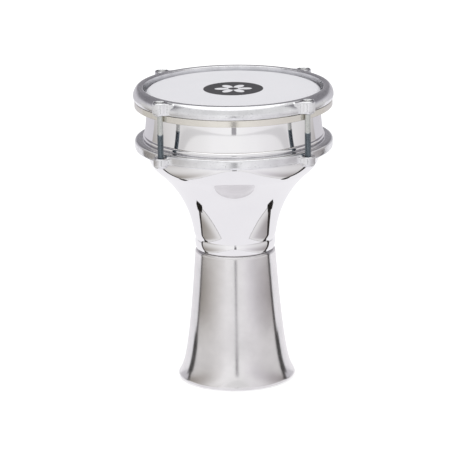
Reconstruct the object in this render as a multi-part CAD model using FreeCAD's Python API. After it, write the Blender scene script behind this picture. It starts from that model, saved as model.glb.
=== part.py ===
import FreeCAD, Part

import math
import os

from FreeCAD import Vector

# Goblet drum (darbuka) with a spun aluminium shell and a tunable head.
# Millimetres. +Z points from the foot to the head. The origin is the centre of
# the foot's rest plane.  Most pieces are turned from an outline in the X-Z
# half plane, where X is the radius.

# ---- Shell: sizes that are set by themselves ------------------------------
shell_wall = 2.2
stem_height = 125.0            # foot plane to the groove where stem and bowl meet
band_height = 11.0             # raised band around the waist, above that groove
bowl_height = 94.0             # top of the band to the underside of the shoulder bead
collar_height = 40.4           # top of the bead to the bearing edge

# Stem: a straight taper, a long flare and a short lip, added to one another
stem_top_radius = 37.8         # at the shoulder under the groove
stem_taper = 0.0553            # radius gained per millimetre on the way down
foot_flare = 7.97              # extra radius that the long flare gives at the foot
foot_flare_length = 52.7       # height over which the long flare fades
foot_lip = 5.55                # extra radius that the short lip gives at the foot
foot_lip_length = 8.0
foot_roll_radius = 2.4         # edge rolled inwards around the foot
foot_flat_depth = 0.15         # turned off the roll to make the rest face
stem_shoulder_bend = 1.4       # inside of the round shoulder above the taper
spigot_height = 9.0            # top of the stem, rolled into the inside of the bowl's band
spigot_clearance = 0.02

# Bowl
groove_depth = 1.5             # groove under the band, in from the stem's shoulder
band_bulge = 0.15              # how far the band's middle stands out of the neck
band_notch_depth = 0.4         # notch over the band, in from the neck
band_notch_height = 0.6
neck_step = 0.5                # neck just above the band, in from the stem's shoulder
neck_round_height = 6.0        # the neck rounds into the notch over this height
neck_notch_slope = 22.0        # degrees from the axis where it meets the notch
neck_slope = 8.5               # degrees from the axis above that rounding
flare_straight = 3.5           # straight stretch between the hollow flare and the belly
belly_radius = 24.8            # round belly under the lower ring
bowl_radius = 80.7             # widest part of the belly
belly_to_bead = 10.1           # straight wall between the belly and the bead
bead_bend = 0.8                # inside of the bead that the lower ring pulls against
bead_stand_out = 3.7           # bead's widest part outside the collar
bead_crease = 60.0             # degrees up the bead where the collar's flare meets it
collar_step = 0.3              # collar outside the belly
collar_flare_height = 28.0     # the collar widens towards the bead over this height
edge_bend = 1.8                # inside of the bearing edge, which is turned inwards
edge_lip = 1.6                 # flat lip inside the bearing edge

# ---- Head -----------------------------------------------------------------
film_thickness = 0.25
film_seat = 0.02               # film to bearing edge
film_skirt_drop = 1.6          # straight skirt below the edge before it spreads
film_bend_radius = 4.0         # two bends that take the skirt over the channel's lip
film_bend = 60.0               # degrees that each of them turns
film_bite = 0.3                # straight end of the film in the bonding
flesh_hoop_height = 6.0
flesh_hoop_width = 8.9
flesh_hoop_wall = 1.0
flesh_hoop_lip = 3.4           # height of the channel's inner side
flesh_hoop_gap = 2.1           # channel to collar
film_bonding_gap = 0.05
bonding_recess = 0.6           # bonding below the channel's rim

# ---- Tension hoop and lower ring ------------------------------------------
hoop_height = 12.5
hoop_rise = 3.3                # hoop's top above the film
hoop_width = 9.3
hoop_top_set_back = 4.0        # top edge inside the widest part of the outer face
hoop_bottom_set_back = 1.0
hoop_inner_gap = 2.45          # hoop to film skirt
hoop_edge_radius = 0.8
hoop_lower_radius = 1.8        # rounding of the lower outer edge, over the flesh hoop

ring_height = 9.8
ring_overlap = 1.2             # ring's top above the bead's underside
ring_width = 10.8
ring_bowl_gap = 0.6
ring_edge_radius = 2.2
ring_seat_gap = 0.02

# ---- Lugs and bolts -------------------------------------------------------
lug_count = 4
first_lug_angle = 45.0         # degrees from +X
lug_wall = 1.6                 # around the bolt head's counterbore
lug_stand_off = 1.7            # bolt axis outside the hoop's widest face
lug_fillet = 6.5               # hollow between a lug and the hoop
lug_top_radius = 1.2           # rounding of a lug's upper edge
lug_bottom_radius = 3.5
ring_lug_drop = 2.9            # lower lug's top below the ring's top
ring_lug_height = 9.9

bolt_length = 50.0             # under the head
bolt_diameter = 6.0            # M6
bolt_pitch = 1.0
bolt_shank_relief = 0.65       # rolled thread, so the plain part is thinner
bolt_thread_length = 26.5
thread_depth = 0.55
bolt_tip_chamfer = 0.8
bolt_head_diameter = 10.0
bolt_head_height = 6.0
bolt_head_edge = 0.6
hex_key = 5.0                  # across the flats
hex_depth = 3.0
head_recess = 0.5              # bolt head's top below the lug's top
counterbore_clearance = 0.4
bolt_hole_clearance = 0.3
thread_clearance = 0.05

# ---- Heights and radii that follow ----------------------------------------
stem_shoulder_radius = stem_shoulder_bend + shell_wall
bead_radius = bead_bend + shell_wall
edge_radius = edge_bend + shell_wall
collar_radius = bowl_radius + collar_step
neck_radius = stem_top_radius - neck_step
groove_radius = stem_top_radius - groove_depth

groove_z = stem_height
stem_shoulder_z = groove_z - stem_shoulder_radius
neck_z = groove_z + band_height
bead_bottom_z = neck_z + bowl_height
bead_z = bead_bottom_z + bead_radius
collar_z = bead_z + bead_radius
edge_z = collar_z + collar_height
film_bottom_z = edge_z + film_seat
film_top_z = film_bottom_z + film_thickness

bead_centre_radius = collar_radius + bead_stand_out - bead_radius

hoop_top_z = film_top_z + hoop_rise
hoop_bottom_z = hoop_top_z - hoop_height
film_skirt_radius = collar_radius + film_seat + film_thickness
hoop_inner_radius = film_skirt_radius + hoop_inner_gap
hoop_outer_radius = hoop_inner_radius + hoop_width
bolt_circle_radius = hoop_outer_radius + lug_stand_off
counterbore_radius = bolt_head_diameter / 2 + counterbore_clearance
lug_radius = counterbore_radius + lug_wall

flesh_hoop_top_z = hoop_bottom_z
flesh_hoop_bottom_z = flesh_hoop_top_z - flesh_hoop_height
flesh_hoop_inner_radius = collar_radius + flesh_hoop_gap
flesh_hoop_outer_radius = flesh_hoop_inner_radius + flesh_hoop_width

ring_top_z = bead_bottom_z + ring_overlap
ring_bottom_z = ring_top_z - ring_height
ring_inner_radius = bowl_radius + ring_bowl_gap
ring_outer_radius = ring_inner_radius + ring_width

bolt_head_top_z = hoop_top_z - head_recess
bolt_seat_z = bolt_head_top_z - bolt_head_height
bolt_tip_z = bolt_seat_z - bolt_length


# ---- Helpers --------------------------------------------------------------
def at(radius, height):
    """Point of an outline."""
    return Vector(radius, 0, height)


def polar(centre, radius, degrees):
    """Point around a centre, at an angle counted from outwards towards +Z."""
    angle = math.radians(degrees)
    return centre + at(radius * math.cos(angle), radius * math.sin(angle))


def line(start, end):
    return Part.LineSegment(start, end).toShape()


def arc(centre, radius, start, end):
    """Arc around a centre between two angles in degrees."""
    angles = (start, (start + end) / 2, end)
    return Part.Arc(*[polar(centre, radius, angle) for angle in angles]).toShape()


def arc_through(start, middle, end):
    return Part.Arc(start, middle, end).toShape()


def curve(points):
    """Smooth curve through the points."""
    spline = Part.BSplineCurve()
    spline.interpolate(points)
    return spline.toShape()


def start_of(edge):
    return edge.valueAt(edge.FirstParameter)


def end_of(edge):
    return edge.valueAt(edge.LastParameter)


def joined(edges):
    """Face inside a closed run of edges."""
    return Part.Face(Part.Wire(Part.__sortEdges__(edges)))


def polygon(points):
    """Face with straight sides."""
    return Part.Face(Part.makePolygon(points + points[:1]))


def sheet(edges, thickness):
    """Section of a spun or formed sheet: an outline and its copy at the thickness.

    The outline runs upwards. A positive thickness lies on the side of the axis.
    """
    return Part.Wire(edges).makeOffset2D(thickness, 0, True, True, False)


def turned(section):
    """Solid made by turning a section around the Z axis."""
    return section.revolve(Vector(0, 0, 0), Vector(0, 0, 1), 360)


def disc(radius, bottom, top, x=0.0):
    """Upright cylinder between two heights."""
    return Part.makeCylinder(radius, top - bottom, Vector(x, 0, bottom))


def rim_edges(solid):
    """Full circles of a turned solid."""
    return [edge for edge in solid.Edges if isinstance(edge.Curve, Part.Circle) and edge.isClosed()]


def lug_angle(index):
    return first_lug_angle + index * 360.0 / lug_count


def at_lug(shape, index):
    """Copy of a shape made at +X, turned to one of the lugs."""
    copy = shape.copy()
    copy.rotate(Vector(0, 0, 0), Vector(0, 0, 1), lug_angle(index))
    return copy


def at_all_lugs(shape):
    return [at_lug(shape, index) for index in range(lug_count)]


# ---- Shell ----------------------------------------------------------------
def stem_radius(height):
    """Outer radius of the stem at a height above the foot."""
    taper = stem_top_radius + stem_taper * (stem_shoulder_z - height)
    flare = foot_flare * math.exp(-height / foot_flare_length)
    flare_at_top = foot_flare * math.exp(-stem_shoulder_z / foot_flare_length)
    lip = foot_lip * math.exp(-height / foot_lip_length)
    return taper + flare - flare_at_top + lip


def stem_slope(height):
    """Radius gained per millimetre of height, negative because the foot is wider."""
    step = 0.1
    return (stem_radius(height + step) - stem_radius(height - step)) / (2 * step)


def stem_normal(height):
    """Outward direction of the stem's side."""
    return at(1, -stem_slope(height)).normalize()


def stem_side(bottom, inset):
    """Side of the stem up to the shoulder, moved inwards along its normal.

    The points stand closer together near the foot, where the side curves most.
    """
    count = 12
    rise = stem_shoulder_z - bottom
    points = []
    for index in range(count + 1):
        height = bottom + rise * (index / count) ** 1.7
        points.append(at(stem_radius(height), height) - stem_normal(height) * inset)
    return curve(points)


def waist_band():
    """Outside of the bowl's band, from the groove up to the notch under the neck."""
    return Part.Arc(
        at(groove_radius, groove_z),
        at(neck_radius + band_bulge, (groove_z + neck_z) / 2),
        at(neck_radius - band_notch_depth, neck_z),
    ).toShape()


def stem_neck():
    """Round shoulder and the spigot that is rolled into the inside of the bowl's band."""
    band = waist_band().Curve
    centre = at(band.Center.x, band.Center.z)
    radius = band.Radius - shell_wall - spigot_clearance
    start = math.degrees(math.asin((groove_z - centre.z) / band.Radius))
    end = math.degrees(math.asin((groove_z + spigot_height - centre.z) / band.Radius))
    spigot_foot = polar(centre, radius, start)
    shoulder = at(stem_radius(stem_shoulder_z) - stem_shoulder_radius, stem_shoulder_z)
    shoulder_end = math.degrees(math.acos((spigot_foot.x - shoulder.x) / stem_shoulder_radius))
    return turned(
        sheet(
            [
                arc(shoulder, stem_shoulder_radius, 0, shoulder_end),
                line(polar(shoulder, stem_shoulder_radius, shoulder_end), spigot_foot),
                arc(centre, radius, start, end),
            ],
            shell_wall,
        )
    )


def stem():
    """Tapered tube with a flared foot, a rolled edge and a spigot for the bowl."""
    roll_z = foot_roll_radius - foot_flat_depth
    touch_z = roll_z
    for _ in range(20):
        touch_z = roll_z + foot_roll_radius * stem_normal(touch_z).z
    roll_centre = at(stem_radius(touch_z), touch_z) - stem_normal(touch_z) * foot_roll_radius
    roll = Part.Circle(roll_centre, Vector(0, 1, 0), foot_roll_radius).toShape()
    outside = stem_side(touch_z, 0)
    inside = stem_side(touch_z, shell_wall)
    shoulder_inside = end_of(outside) - at(shell_wall, 0)
    side = joined(
        [
            outside,
            line(end_of(outside), shoulder_inside),
            line(shoulder_inside, end_of(inside)),
            inside,
            line(start_of(inside), start_of(outside)),
        ]
    )
    body = turned(side).fuse([stem_neck(), turned(joined([roll]))])
    return body.cut(disc(2 * roll_centre.x, -foot_roll_radius, 0)).removeSplitter()


def neck_round():
    """Rounding of the neck, from the notch up to the flare."""
    notch_sine = math.sin(math.radians(neck_notch_slope))
    radius = neck_round_height / (notch_sine - math.sin(math.radians(neck_slope)))
    foot = at(neck_radius, neck_z + band_notch_height)
    centre = foot - polar(at(0, 0), radius, -neck_notch_slope)
    return arc(centre, radius, -neck_notch_slope, -neck_slope)


def bowl_flare(neck):
    """Hollow flare, straight stretch and belly, from the neck up to the straight wall.

    The flare leaves the neck at its slope. Its radius is the one that leaves the
    straight stretch its length where it runs on to the belly's circle.
    """
    belly = at(bowl_radius - belly_radius, bead_bottom_z - belly_to_bead)
    outward = polar(at(0, 0), 1, -neck_slope)
    apart = neck - belly
    reach = apart.dot(apart) - belly_radius**2 - flare_straight**2
    flare_radius = reach / (2 * (belly_radius - apart.dot(outward)))
    flare = neck + outward * flare_radius
    between = flare - belly
    direction = math.atan2(between.z, between.x)
    lean = math.atan2(flare_straight, belly_radius + flare_radius)
    slope = math.degrees(direction + lean)
    flare_end = polar(flare, flare_radius, 180 + slope)
    belly_end = polar(belly, belly_radius, slope)
    return [
        arc(flare, flare_radius, 180 - neck_slope, 180 + slope),
        line(flare_end, belly_end),
        arc(belly, belly_radius, slope, 0),
    ]


def collar_flare(start):
    """Hollow curve from the bead's crease up to the collar, upright where they meet."""
    rise = collar_z + collar_flare_height - start.z
    turn = 2 * math.atan((start.x - collar_radius) / rise)
    radius = rise / math.sin(turn)
    centre = at(collar_radius + radius, start.z + rise)
    return arc(centre, radius, 180 + math.degrees(turn), 180)


def bowl():
    """Spun bowl: waist band, belly, bead for the ring, collar and turned-in bearing edge."""
    band = waist_band()
    neck = neck_round()
    flare = bowl_flare(end_of(neck))
    bead = at(bead_centre_radius, bead_z)
    bead_start = -180 + math.degrees(math.acos((bead.x - bowl_radius) / bead_radius))
    edge = at(collar_radius - edge_radius, edge_z - edge_radius)
    section = sheet(
        [
            band,
            line(end_of(band), start_of(neck)),
            neck,
            *flare,
            line(at(bowl_radius, bead_bottom_z - belly_to_bead), polar(bead, bead_radius, bead_start)),
            arc(bead, bead_radius, bead_start, bead_crease),
            collar_flare(polar(bead, bead_radius, bead_crease)),
            line(at(collar_radius, collar_z + collar_flare_height), at(collar_radius, edge.z)),
            arc(edge, edge_radius, 0, 90),
            line(at(edge.x, edge_z), at(edge.x - edge_lip, edge_z)),
        ],
        shell_wall,
    )
    return turned(section)


# ---- Head -----------------------------------------------------------------
def film_line():
    """Underside of the film from the middle over the bearing edge into the channel."""
    edge = at(collar_radius - edge_radius, edge_z - edge_radius)
    edge_bend = edge_radius + film_seat
    skirt = edge.x + edge_bend
    spread_z = edge.z - film_skirt_drop
    outer_bend = at(skirt + film_bend_radius, spread_z)
    spread = polar(outer_bend, film_bend_radius, 180 + film_bend)
    inner_bend = spread + polar(at(0, 0), film_bend_radius, 180 + film_bend)
    end = polar(inner_bend, film_bend_radius, 0)
    return [
        line(at(0, film_bottom_z), at(edge.x, film_bottom_z)),
        arc(edge, edge_bend, 90, 0),
        line(at(skirt, edge.z), at(skirt, spread_z)),
        arc(outer_bend, film_bend_radius, 180, 180 + film_bend),
        arc(inner_bend, film_bend_radius, film_bend, 0),
        line(end, end - at(0, film_bite)),
    ]


def drumhead_film():
    """Polyester film over the bearing edge, its rim bonded into the flesh hoop."""
    return turned(sheet(film_line(), film_thickness))


def flesh_hoop():
    """Aluminium channel, open at the top, that holds the film's rim."""
    inner = flesh_hoop_inner_radius
    outer = flesh_hoop_outer_radius
    wall = flesh_hoop_wall
    bottom = flesh_hoop_bottom_z
    section = polygon(
        [
            at(inner, bottom),
            at(outer, bottom),
            at(outer, flesh_hoop_top_z),
            at(outer - wall, flesh_hoop_top_z),
            at(outer - wall, bottom + wall),
            at(inner + wall, bottom + wall),
            at(inner + wall, bottom + flesh_hoop_lip),
            at(inner, bottom + flesh_hoop_lip),
        ]
    )
    return turned(section)


def film_bonding():
    """Resin that fills the channel around the film's rim."""
    inner = flesh_hoop_inner_radius + flesh_hoop_wall
    outer = flesh_hoop_outer_radius - flesh_hoop_wall
    bottom = flesh_hoop_bottom_z + flesh_hoop_wall
    top = flesh_hoop_top_z - bonding_recess
    lip_top = flesh_hoop_bottom_z + flesh_hoop_lip
    fill = turned(polygon([at(inner, bottom), at(outer, bottom), at(outer, top), at(inner, lip_top)]))
    rim = turned(sheet(film_line(), film_thickness + film_bonding_gap))
    under = turned(sheet(film_line(), -film_bonding_gap))
    slot_end = film_line()[-1].valueAt(film_bite)
    end_gap = turned(
        polygon(
            [
                slot_end - at(film_bonding_gap, 0),
                slot_end - at(film_bonding_gap, film_bonding_gap),
                slot_end + at(film_thickness + film_bonding_gap, -film_bonding_gap),
                slot_end + at(film_thickness + film_bonding_gap, 0),
            ]
        )
    )
    return fill.cut(rim).cut(under).cut(end_gap)


# ---- Castings -------------------------------------------------------------
def lug_web(ring_radius, depth):
    """Plan of the hollow fillets that join a lug at +X to a ring's outer face."""
    far = ring_radius + lug_fillet
    near = lug_radius + lug_fillet
    middle = bolt_circle_radius
    angle = math.acos((middle**2 + far**2 - near**2) / (2 * middle * far))
    sides = []
    for sign in (1, -1):
        outward = Vector(math.cos(angle), sign * math.sin(angle), 0)
        centre = outward * far
        lug = Vector(middle, 0, 0)
        to_lug = (lug - centre).normalize()
        on_ring = outward * ring_radius
        on_lug = centre + to_lug * lug_fillet
        between = centre + (to_lug - outward).normalize() * lug_fillet
        sides.append((outward * (ring_radius - depth), on_ring, between, on_lug))
    (inner_a, ring_a, between_a, lug_a), (inner_b, ring_b, between_b, lug_b) = sides
    edges = [
        line(inner_a, ring_a),
        arc_through(ring_a, between_a, lug_a),
        line(lug_a, lug_b),
        arc_through(lug_b, between_b, ring_b),
        line(ring_b, inner_b),
        line(inner_b, inner_a),
    ]
    return Part.Face(Part.Wire(edges))


def lug(ring_radius, bottom, top, web_bottom, web_top):
    """Round lug at +X with the webs that join it to its ring."""
    barrel = disc(lug_radius, bottom, top, bolt_circle_radius)
    low = min(rim_edges(barrel), key=lambda edge: edge.Curve.Center.z)
    barrel = barrel.makeFillet(lug_bottom_radius, [low])
    high = max(rim_edges(barrel), key=lambda edge: edge.Curve.Center.z)
    barrel = barrel.makeFillet(lug_top_radius, [high])
    web = lug_web(ring_radius, lug_radius / 2)
    web.translate(Vector(0, 0, web_bottom))
    return barrel.fuse(web.extrude(Vector(0, 0, web_top - web_bottom)))


def tension_hoop():
    """Cast hoop that presses the head down, with a counterbored lug for each bolt."""
    inner = hoop_inner_radius
    outer = hoop_outer_radius
    section = Part.Face(
        Part.Wire(
            [
                line(at(inner, hoop_bottom_z), at(outer - hoop_bottom_set_back, hoop_bottom_z)),
                arc_through(
                    at(outer - hoop_bottom_set_back, hoop_bottom_z),
                    at(outer, hoop_bottom_z + hoop_height * 0.4),
                    at(outer - hoop_top_set_back, hoop_top_z),
                ),
                line(at(outer - hoop_top_set_back, hoop_top_z), at(inner, hoop_top_z)),
                line(at(inner, hoop_top_z), at(inner, hoop_bottom_z)),
            ]
        )
    )
    ring = turned(section)
    lower = max(rim_edges(ring), key=lambda edge: edge.Curve.Radius)
    ring = ring.makeFillet(hoop_lower_radius, [lower])
    sharp = [edge for edge in rim_edges(ring) if abs(edge.Curve.Center.z - hoop_top_z) < 0.01]
    ring = ring.makeFillet(hoop_edge_radius, sharp)
    hoop_lug = lug(
        outer - hoop_edge_radius,
        hoop_bottom_z,
        hoop_top_z,
        hoop_bottom_z + hoop_edge_radius,
        hoop_top_z - hoop_edge_radius,
    )
    head_bore = disc(counterbore_radius, bolt_seat_z, hoop_top_z + 1, bolt_circle_radius)
    shank_bore = disc(
        bolt_diameter / 2 + bolt_hole_clearance, hoop_bottom_z - 1, hoop_top_z, bolt_circle_radius
    )
    casting = ring.fuse(at_all_lugs(hoop_lug))
    return casting.cut(at_all_lugs(head_bore.fuse(shank_bore)))


def lower_ring():
    """Cast ring under the bead, with a tapped lug for each bolt."""
    section = polygon(
        [
            at(ring_inner_radius, ring_bottom_z),
            at(ring_outer_radius, ring_bottom_z),
            at(ring_outer_radius, ring_top_z),
            at(ring_inner_radius, ring_top_z),
        ]
    )
    ring = turned(section)
    outside = [edge for edge in rim_edges(ring) if edge.Curve.Radius > ring_inner_radius + 1]
    ring = ring.makeFillet(ring_edge_radius, outside)
    ring = ring.cut(Part.makeTorus(bead_centre_radius, bead_radius + ring_seat_gap, Vector(0, 0, bead_z)))
    lug_top = ring_top_z - ring_lug_drop
    lug_bottom = lug_top - ring_lug_height
    ring_lug = lug(
        ring_outer_radius,
        lug_bottom,
        lug_top,
        ring_bottom_z + ring_edge_radius / 2,
        lug_top - ring_edge_radius / 2,
    )
    tapped = disc(
        bolt_diameter / 2 + thread_clearance, lug_bottom - 1, ring_top_z + 1, bolt_circle_radius
    )
    return ring.fuse(at_all_lugs(ring_lug)).cut(at_all_lugs(tapped))


# ---- Bolts ----------------------------------------------------------------
def tension_bolt():
    """Hexagon socket bolt at +X, its thread drawn as rings one pitch apart."""
    radius = bolt_diameter / 2
    root = radius - thread_depth
    shank = radius - bolt_shank_relief / 2
    outline = [at(0, bolt_tip_z), at(radius - bolt_tip_chamfer, bolt_tip_z)]
    height = bolt_tip_z + bolt_tip_chamfer
    thread_end = bolt_tip_z + bolt_thread_length
    while height + bolt_pitch <= thread_end:
        outline.append(at(radius, height))
        outline.append(at(root, height + bolt_pitch / 2))
        height += bolt_pitch
    outline += [
        at(shank, height),
        at(shank, bolt_seat_z),
        at(bolt_head_diameter / 2, bolt_seat_z),
        at(bolt_head_diameter / 2, bolt_head_top_z - bolt_head_edge),
        at(bolt_head_diameter / 2 - bolt_head_edge, bolt_head_top_z),
        at(0, bolt_head_top_z),
    ]
    solid = turned(polygon(outline))
    corner = hex_key / 2 / math.cos(math.radians(30))
    corners = [
        Vector(corner * math.cos(math.radians(60 * side)), corner * math.sin(math.radians(60 * side)), 0)
        for side in range(6)
    ]
    socket = polygon(corners).extrude(Vector(0, 0, hex_depth + 1))
    socket.translate(Vector(0, 0, bolt_head_top_z - hex_depth))
    solid = solid.cut(socket)
    solid.translate(Vector(bolt_circle_radius, 0, 0))
    return solid


def bolt_name(index):
    """Name of a bolt by where it stands, seen by a player behind -Y."""
    angle = math.radians(lug_angle(index))
    depth = "rear" if math.sin(angle) > 0 else "front"
    side = "right" if math.cos(angle) > 0 else "left"
    return f"bolt_{depth}_{side}"


# ---- Export ---------------------------------------------------------------
def main():
    os.makedirs("parts", exist_ok=True)
    pieces = {
        "stem": stem(),
        "bowl": bowl(),
        "drumhead_film": drumhead_film(),
        "flesh_hoop": flesh_hoop(),
        "film_bonding": film_bonding(),
        "tension_hoop": tension_hoop(),
        "lower_ring": lower_ring(),
    }
    bolt = tension_bolt()
    for index in range(lug_count):
        pieces[bolt_name(index)] = at_lug(bolt, index)
    for name, shape in pieces.items():
        shape.exportStep(f"parts/{name}.step")
        print(name, shape.ShapeType, len(shape.Solids), shape.isValid(), round(shape.Volume))


main()
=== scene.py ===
import logging
import math
from dataclasses import dataclass
from enum import Enum
from typing import Callable

import bmesh
import bpy
from mathutils import Matrix, Vector


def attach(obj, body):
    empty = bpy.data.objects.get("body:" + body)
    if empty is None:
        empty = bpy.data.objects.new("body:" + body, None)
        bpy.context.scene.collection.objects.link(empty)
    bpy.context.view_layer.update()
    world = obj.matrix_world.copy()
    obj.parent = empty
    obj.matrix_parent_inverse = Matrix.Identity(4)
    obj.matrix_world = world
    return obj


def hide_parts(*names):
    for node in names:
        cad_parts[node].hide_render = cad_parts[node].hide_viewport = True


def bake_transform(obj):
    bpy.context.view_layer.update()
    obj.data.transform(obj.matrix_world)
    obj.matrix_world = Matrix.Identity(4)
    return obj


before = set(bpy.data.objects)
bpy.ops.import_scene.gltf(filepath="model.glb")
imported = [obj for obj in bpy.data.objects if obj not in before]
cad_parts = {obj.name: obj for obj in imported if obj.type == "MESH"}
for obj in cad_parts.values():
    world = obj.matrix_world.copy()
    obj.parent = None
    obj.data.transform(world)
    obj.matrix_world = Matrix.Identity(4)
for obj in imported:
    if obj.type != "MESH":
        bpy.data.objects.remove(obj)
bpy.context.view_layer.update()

Draw = Callable[[bmesh.types.BMesh], object]
Material = bpy.types.Material
Outputs = bpy.types.NodeOutputs
Piece = bpy.types.Object
Point = tuple[float, float]
Socket = bpy.types.NodeSocket
Tree = bpy.types.NodeTree

MM = 0.001
# The turned surface's doubled points lie closer together than this, in metres
WELD_DISTANCE = 0.002 * MM
# Radius in millimetres of the circle on which the bolts stand
BOLT_CIRCLE = 94.72
# The bowl's bead, on which the lower ring pulls: centre and radius in millimetres
BEAD_CENTRE = (81.7, 233.0)
BEAD_RADIUS = 3.0
# Play between two pieces that touch, in millimetres
PLAY = 0.02
# The boards around the drum and the cards' lower edge, in metres
TENT_HALF_WIDTH = 0.168
TENT_REACH = 0.62
TENT_HEIGHT = 0.27
TENT_REAR = 0.037
TENT_SQUARENESS = 0.8
CARD_BOTTOM = -0.0005
WHITE = "FFFFFF"
log = logging.getLogger("goblet_drum")


# ---------------------------------------------------------------- colours and nodes
def linear(colour: str) -> tuple[float, float, float, float]:
    """Turn an sRGB hex colour into linear RGBA.

    Args:
        colour: six hex digits.

    Returns:
        The linear colour with an alpha of one.
    """
    parts = [int(colour[i : i + 2], 16) / 255 for i in (0, 2, 4)]
    red, green, blue = (c / 12.92 if c <= 0.04045 else ((c + 0.055) / 1.055) ** 2.4 for c in parts)
    return red, green, blue, 1.0


def feed(tree: Tree, target: Socket, value: object) -> None:
    """Link a socket to an input, or give the input a plain value."""
    if isinstance(value, Socket):
        tree.links.new(value, target)
    else:
        target.default_value = value


def add_node(tree: Tree, kind: str, inputs: dict | None = None, **settings) -> bpy.types.Node:
    """Add a node with its settings, values and links.

    Args:
        tree: the tree that gets the node.
        kind: the node's type name.
        inputs: a value or a socket to link, for each input's name or number.
        **settings: properties of the node itself.

    Returns:
        The new node.
    """
    node = tree.nodes.new(kind)
    for name, value in settings.items():
        setattr(node, name, value)
    for key, value in (inputs or {}).items():
        feed(tree, node.inputs[key], value)
    return node


def smooth_step(tree: Tree, value: Socket, low: float, high: float) -> Socket:
    """Add a smooth step of a value, from 0 at the low end to 1 at the high one."""
    inputs = {"Value": value, "From Min": low, "From Max": high}
    return add_node(tree, "ShaderNodeMapRange", inputs, interpolation_type="SMOOTHSTEP").outputs[0]


def mixed(tree: Tree, factor: Socket, first: object, second: object) -> Socket:
    """Add a mix of two colours, given as hex or as sockets."""
    node = add_node(tree, "ShaderNodeMix", {"Factor": factor}, data_type="RGBA")
    for key, value in ((6, first), (7, second)):
        feed(tree, node.inputs[key], linear(value) if isinstance(value, str) else value)
    return node.outputs[2]


class Calc:
    """Writes arithmetic on sockets as math nodes of one tree."""

    def __init__(self, tree: Tree) -> None:
        """Keep the tree that gets the nodes."""
        self.tree = tree

    def __call__(self, operation: str, *values: object) -> Socket:
        """Add one math node.

        Args:
            operation: Blender's name of the operation.
            *values: numbers or sockets, in order.

        Returns:
            The node's result.
        """
        node = add_node(self.tree, "ShaderNodeMath", dict(enumerate(values)), operation=operation)
        return node.outputs[0]


def axis_distance(calc: Calc, axes: Outputs) -> Socket:
    """Distance from the drum's axis in metres."""
    squares = calc("ADD", calc("POWER", axes["X"], 2.0), calc("POWER", axes["Y"], 2.0))
    return calc("SQRT", squares)


def blank_material(name: str) -> Material:
    """Make a material with an empty tree."""
    material = bpy.data.materials.new(name)
    material.use_nodes = True
    material.node_tree.nodes.clear()
    return material


def own_place(tree: Tree) -> tuple[Socket, Outputs]:
    """Add the object's own coordinates, whole and as three outputs."""
    place = add_node(tree, "ShaderNodeTexCoord").outputs["Object"]
    return place, add_node(tree, "ShaderNodeSeparateXYZ", {0: place}).outputs


# ---------------------------------------------------------------- outlines and turning
class Outline:
    """Half section of a turned piece, as points of radius and height in millimetres.

    The outside runs upwards and the inside downwards, so that its faces point out.
    """

    def __init__(self) -> None:
        """Start with no points."""
        self.points: list[Point] = []

    def point(self, radius: float, height: float) -> "Outline":
        """Add a point, unless the outline already ends there."""
        new = (radius, height)
        if not self.points or math.dist(self.points[-1], new) > 1e-4:
            self.points.append(new)
        return self

    def line(
        self, radius: float, height: float, edge: float = 0.35, spacing: float = 5.0
    ) -> "Outline":
        """Add a straight run with a point close to each of its ends, which keeps its ends crisp.

        Args:
            radius: radius of the run's end.
            height: height of the run's end.
            edge: distance of those two points from the ends.
            spacing: largest distance between the points in between.

        Returns:
            The outline.
        """
        start = self.points[-1]
        length = math.dist(start, (radius, height))
        stops: list[float] = []
        if length > 3 * edge:
            pieces = max(1, math.ceil((length - 2 * edge) / spacing))
            stops = [edge + (length - 2 * edge) * i / pieces for i in range(pieces + 1)]
        for stop in stops + [length]:
            share = stop / length if length else 1.0
            self.point(
                start[0] + (radius - start[0]) * share, start[1] + (height - start[1]) * share
            )
        return self

    def arc(
        self, centre: Point, radius: float, start: float, end: float, spacing: float = 1.0
    ) -> "Outline":
        """Add an arc.

        Args:
            centre: radius and height of its centre.
            radius: its own radius.
            start: first angle in degrees, counted from outwards towards up.
            end: last angle.
            spacing: largest distance between its points.

        Returns:
            The outline.
        """
        length = abs(radius * math.radians(end - start))
        count = max(4, math.ceil(length / spacing), math.ceil(abs(end - start) / 12))
        for i in range(count + 1):
            self.point(*on_circle(centre, radius, start + (end - start) * i / count))
        return self

    def corner(
        self, radius: float, height: float, rounding: float, start: float, turn: float = 90
    ) -> "Outline":
        """Add a round corner.

        Args:
            radius: radius of the corner before it is rounded.
            height: its height.
            rounding: radius of the rounding.
            start: angle at which the rounding starts; it runs on by the turn.
            turn: how far it turns, in degrees.

        Returns:
            The outline.
        """
        middle = math.radians(start + turn / 2)
        reach = rounding / math.cos(math.radians(turn / 2))
        centre = (radius - reach * math.cos(middle), height - reach * math.sin(middle))
        if self.points:
            self.line(*on_circle(centre, rounding, start))
        return self.arc(centre, rounding, start, start + turn, spacing=max(0.15, rounding / 5))

    def joined(self, other: "Outline", backwards: bool = False) -> "Outline":
        """Add the points of another outline, in order or from its end."""
        for radius, height in reversed(other.points) if backwards else other.points:
            self.point(radius, height)
        return self

    def closed(self) -> "Outline":
        """Run back to the first point."""
        return self.line(*self.points[0])


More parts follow.
